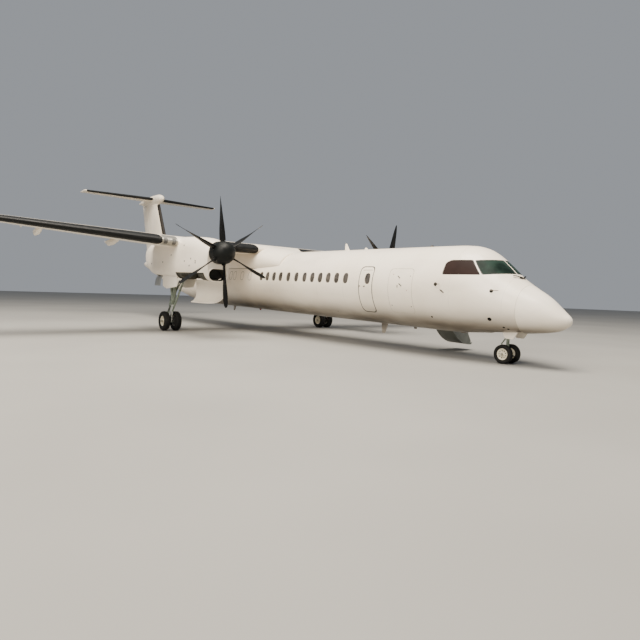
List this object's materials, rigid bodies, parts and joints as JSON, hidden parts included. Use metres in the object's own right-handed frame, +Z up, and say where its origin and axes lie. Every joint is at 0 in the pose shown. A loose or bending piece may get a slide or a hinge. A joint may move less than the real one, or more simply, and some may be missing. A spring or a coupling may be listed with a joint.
{
  "type": "turboprop airliner",
  "caption": "High-wing twin-turboprop airliner with a T-tail, parked on its wheels, its airstair door, lower engine cowls and refuelling panel open.",
  "frame": {"origin": "middle of the footprint of the whole aircraft, on the ground", "axes": "+Z up, -Y towards the nose, +X towards the aircraft's left (port) side"},
  "size_m": [28.42, 32.6918, 8.4222],
  "materials": {
    "paint": "semi-gloss white",
    "radome": "semi-gloss white composite",
    "cockpit_glass": "dark tinted glass",
    "panel_inside": "grey primer",
    "airstair": "painted aluminium with bare treads",
    "engine": "heat-stained metal",
    "spinner": "satin black",
    "blade": "satin near-black composite",
    "gear": "pale grey gloss",
    "tyre": "worn rubber"
  },
  "bodies": {
    "airframe": {"radome": "radome", "forward_fuselage": "paint", "cabin_fuselage": "paint", "aft_fuselage": "paint", "windscreen_left": "cockpit_glass", "cockpit_side_window_left": "cockpit_glass", "windscreen_right": "cockpit_glass", "cockpit_side_window_right": "cockpit_glass", "forward_emergency_exit": "paint", "forward_baggage_door": "paint", "aft_passenger_door": "paint", "aft_service_door": "paint", "aft_baggage_door": "paint", "wing_fuselage_fairing": "paint", "inner_wing": "paint", "outer_wing_left": "paint", "outer_wing_right": "paint", "inner_flap_left": "paint", "inner_flap_right": "paint", "outer_flap_left": "paint", "outer_flap_right": "paint", "fin": "paint", "tailplane": "paint", "nacelle_left": "paint", "engine_left": "engine", "main_leg_left": "gear", "main_gear_door_outer_left": "paint", "main_gear_door_inner_left": "paint", "nacelle_right": "paint", "engine_right": "engine", "main_leg_right": "gear", "main_gear_door_outer_right": "paint", "main_gear_door_inner_right": "paint", "nose_leg": "gear", "nose_gear_door_left": "paint", "nose_gear_door_right": "paint"},
    "airstair": {"passenger_airstair_door": "airstair"},
    "refuel_panel": {"refuel_panel_door": "panel_inside"},
    "lower_cowl_panel_left": {"lower_cowl_left": "paint"},
    "lower_cowl_panel_right": {"lower_cowl_right": "paint"},
    "propeller_left": {"spinner_left": "spinner", "propeller_blades_left": "blade"},
    "propeller_right": {"spinner_right": "spinner", "propeller_blades_right": "blade"},
    "main_wheels_left": {"main_wheel_outer_left": "tyre", "main_wheel_inner_left": "tyre"},
    "main_wheels_right": {"main_wheel_outer_right": "tyre", "main_wheel_inner_right": "tyre"},
    "nose_steering": {"nose_steered_axle": "gear"},
    "nose_wheels": {"nose_wheel_left": "tyre", "nose_wheel_right": "tyre"},
    "left_aileron": {"aileron_left": "paint"},
    "right_aileron": {"aileron_right": "paint"},
    "front_rudder": {"rudder_front": "paint"},
    "rear_rudder": {"rudder_rear": "paint"},
    "elevators": {"elevator_left": "paint", "elevator_right": "paint"}
  },
  "joints": [
    {"name": "airstair_hinge", "type": "hinge", "parent": "airframe", "child": "airstair", "pos_m": [0.905, -11.4158, 1.1526], "axis": [0, 0.9998, 0.0214], "range_deg": [-114.5, 0]},
    {"name": "lower_cowl_left_hinge", "type": "hinge", "parent": "airframe", "child": "lower_cowl_panel_left", "pos_m": [4.003, -3.6327, 2.2634], "axis": [0, 0.9998, 0.0214], "range_deg": [-91, 0]},
    {"name": "lower_cowl_right_hinge", "type": "hinge", "parent": "airframe", "child": "lower_cowl_panel_right", "pos_m": [-4.003, -3.6327, 2.2634], "axis": [0, 0.9998, 0.0214], "range_deg": [0, 91]},
    {"name": "refuel_panel_hinge", "type": "hinge", "parent": "airframe", "child": "refuel_panel", "pos_m": [-4.825, -0.3257, 2.4382], "axis": [0, 0.9998, 0.0214], "range_deg": [-95, 0]},
    {"name": "propeller_left_spin", "type": "hinge", "parent": "airframe", "child": "propeller_left", "pos_m": [4.395, -5.4743, 3.2502], "axis": [0, 0.9998, 0.0214], "continuous": true},
    {"name": "propeller_right_spin", "type": "hinge", "parent": "airframe", "child": "propeller_right", "pos_m": [-4.395, -5.4743, 3.2502], "axis": [0, 0.9998, 0.0214], "continuous": true},
    {"name": "main_wheels_left_roll", "type": "hinge", "parent": "airframe", "child": "main_wheels_left", "pos_m": [4.395, -0.6029, 0.432], "axis": [1, 0, 0], "continuous": true},
    {"name": "main_wheels_right_roll", "type": "hinge", "parent": "airframe", "child": "main_wheels_right", "pos_m": [-4.395, -0.6029, 0.432], "axis": [1, 0, 0], "continuous": true},
    {"name": "nose_steer", "type": "hinge", "parent": "airframe", "child": "nose_steering", "pos_m": [0, -14.5428, 0.2795], "axis": [0, -0.0214, 0.9998], "range_deg": [-70, 70]},
    {"name": "nose_wheels_roll", "type": "hinge", "parent": "nose_steering", "child": "nose_wheels", "pos_m": [0, -14.5428, 0.2795], "axis": [1, 0, 0], "continuous": true},
    {"name": "aileron_left_hinge", "type": "hinge", "parent": "airframe", "child": "left_aileron", "pos_m": [10.22, -1.0726, 4.0548], "axis": [0.9962, -0.078, 0.0394], "range_deg": [-17, 20]},
    {"name": "aileron_right_hinge", "type": "hinge", "parent": "airframe", "child": "right_aileron", "pos_m": [-10.22, -1.0726, 4.0548], "axis": [0.9962, 0.078, -0.0394], "range_deg": [-17, 20]},
    {"name": "rudder_front_hinge", "type": "hinge", "parent": "airframe", "child": "front_rudder", "pos_m": [0, 13.104, 4.1639], "axis": [0, 0.3528, 0.9357], "range_deg": [-18, 18]},
    {"name": "rudder_rear_hinge", "type": "hinge", "parent": "front_rudder", "child": "rear_rudder", "pos_m": [0, 13.78, 4.1784], "axis": [0, 0.3215, 0.9469], "range_deg": [-18, 18]},
    {"name": "elevator_hinge", "type": "hinge", "parent": "airframe", "child": "elevators", "pos_m": [0, 14.0287, 8.1346], "axis": [1, 0, 0], "range_deg": [-15, 25]}
  ],
  "couplings": [
    {"joint": "rudder_rear_hinge", "follows": "rudder_front_hinge", "ratio": 1}
  ]
}
